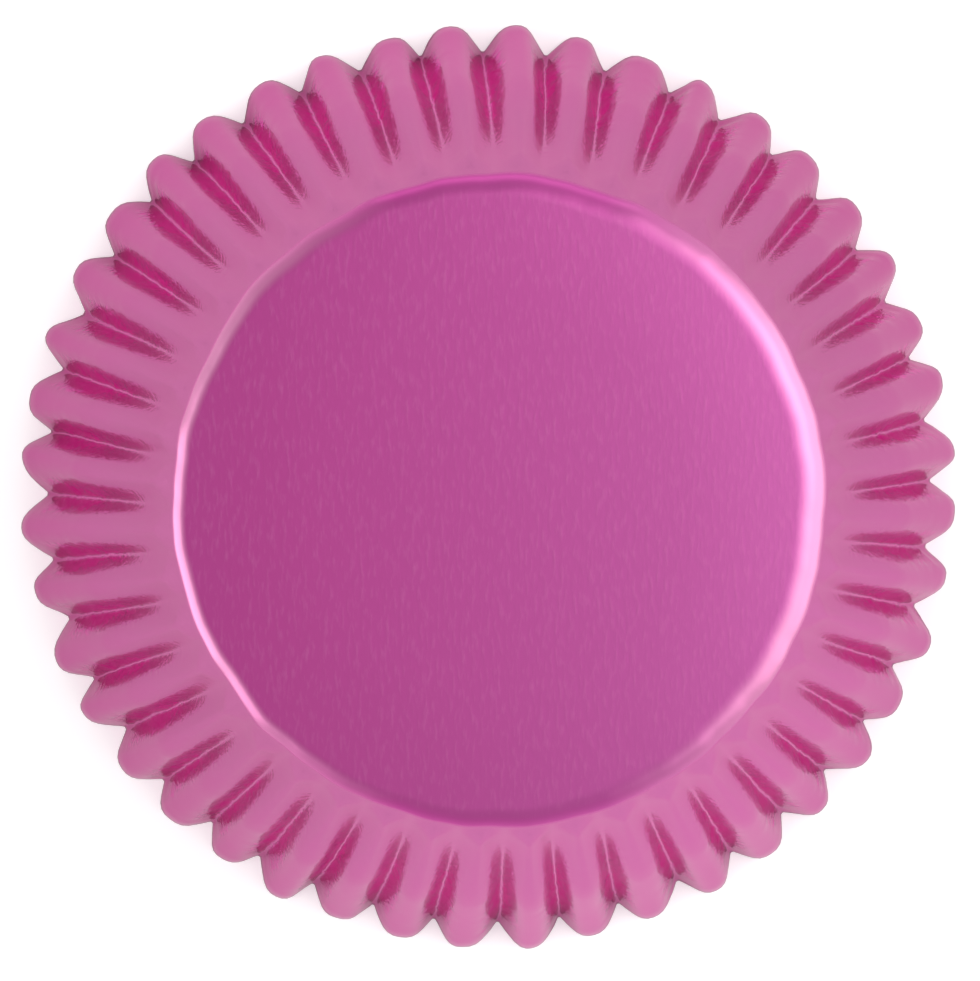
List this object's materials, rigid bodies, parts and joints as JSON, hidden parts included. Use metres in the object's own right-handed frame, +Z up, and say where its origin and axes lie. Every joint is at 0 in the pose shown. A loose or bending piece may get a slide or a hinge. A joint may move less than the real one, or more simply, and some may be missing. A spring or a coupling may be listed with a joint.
{
  "type": "cupcake liner",
  "caption": "Round foil baking cup with a flat base and a flared wall of narrow flutes, lying upside down on the edge of its mouth.",
  "frame": {"origin": "middle of the mouth, in the plane of the edge that the liner rests on", "axes": "+Z runs up the axis of the cup, from the open mouth to the closed base; the creases of the wall begin at +X"},
  "size_m": [0.0778, 0.0778, 0.029],
  "materials": {
    "foil_paper": "satin"
  },
  "bodies": {
    "root": {"liner": "foil_paper"}
  },
  "joints": []
}
